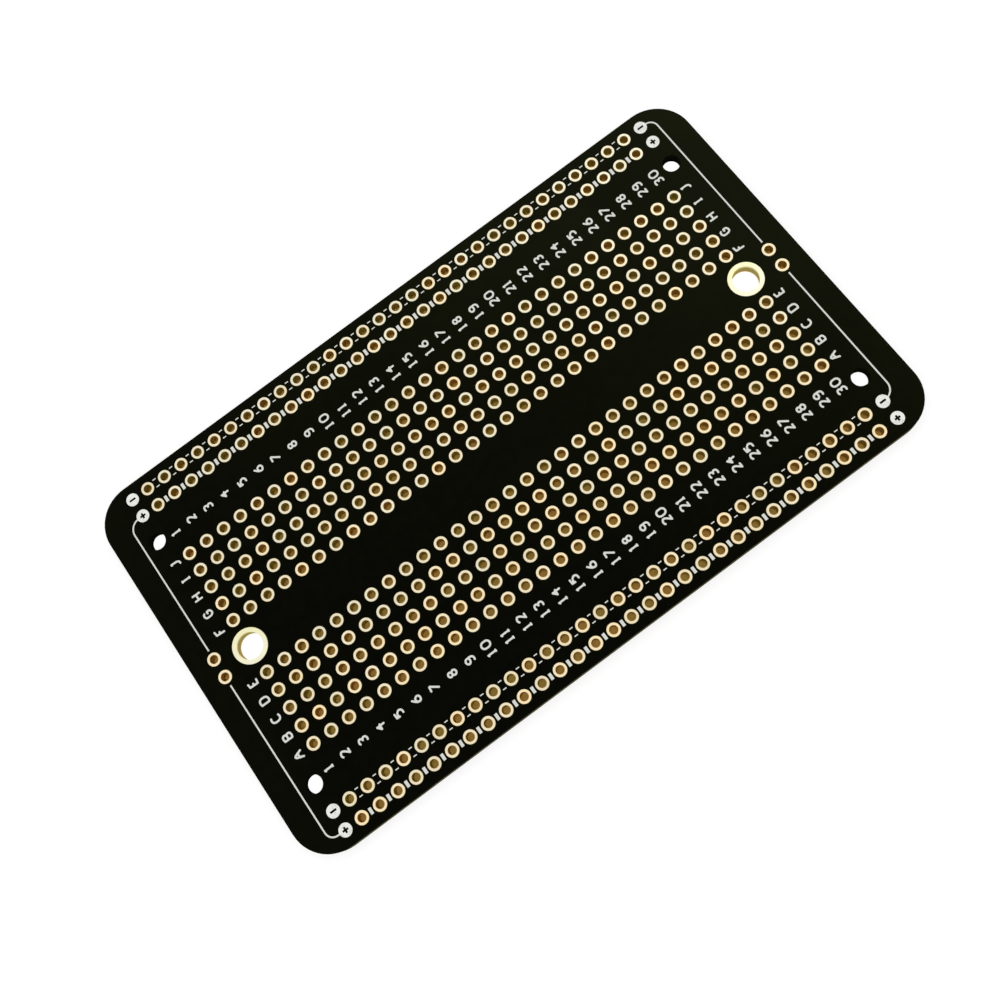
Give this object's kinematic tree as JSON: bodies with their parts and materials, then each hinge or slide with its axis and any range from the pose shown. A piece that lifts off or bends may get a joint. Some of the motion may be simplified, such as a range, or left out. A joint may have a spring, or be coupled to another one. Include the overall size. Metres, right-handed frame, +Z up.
{
  "type": "prototype board",
  "caption": "Bare solderable prototype circuit board with joined hole strips, power rails along both long edges, screw holes and a printed legend.",
  "frame": {"origin": "middle of the underside, on the plane that the board rests on", "axes": "+X along the board from column 1 to column 30, +Y across it from row A to row J, +Z up out of the printed face"},
  "size_m": [0.0888, 0.052, 0.0016],
  "materials": {
    "laminate": "cut glass-fibre laminate, olive yellow",
    "solder_mask": "black solder mask with a soft satin sheen",
    "plated_copper": "pale gold plating over copper, satin",
    "legend_ink": "flat white printing ink"
  },
  "bodies": {
    "root": {"laminate": "laminate", "solder_mask_top": "solder_mask", "solder_mask_bottom": "solder_mask", "column_01": "plated_copper", "column_02": "plated_copper", "column_03": "plated_copper", "column_04": "plated_copper", "column_05": "plated_copper", "column_06": "plated_copper", "column_07": "plated_copper", "column_08": "plated_copper", "column_09": "plated_copper", "column_10": "plated_copper", "column_11": "plated_copper", "column_12": "plated_copper", "column_13": "plated_copper", "column_14": "plated_copper", "column_15": "plated_copper", "column_16": "plated_copper", "column_17": "plated_copper", "column_18": "plated_copper", "column_19": "plated_copper", "column_20": "plated_copper", "column_21": "plated_copper", "column_22": "plated_copper", "column_23": "plated_copper", "column_24": "plated_copper", "column_25": "plated_copper", "column_26": "plated_copper", "column_27": "plated_copper", "column_28": "plated_copper", "column_29": "plated_copper", "column_30": "plated_copper", "rail_top_minus": "plated_copper", "rail_top_plus": "plated_copper", "rail_bottom_minus": "plated_copper", "rail_bottom_plus": "plated_copper", "screw_ring_left": "plated_copper", "screw_ring_right": "plated_copper", "guide_lines": "legend_ink", "polarity_discs": "legend_ink", "plus_rail_bars": "legend_ink", "minus_rail_dashes": "legend_ink"}
  },
  "joints": []
}
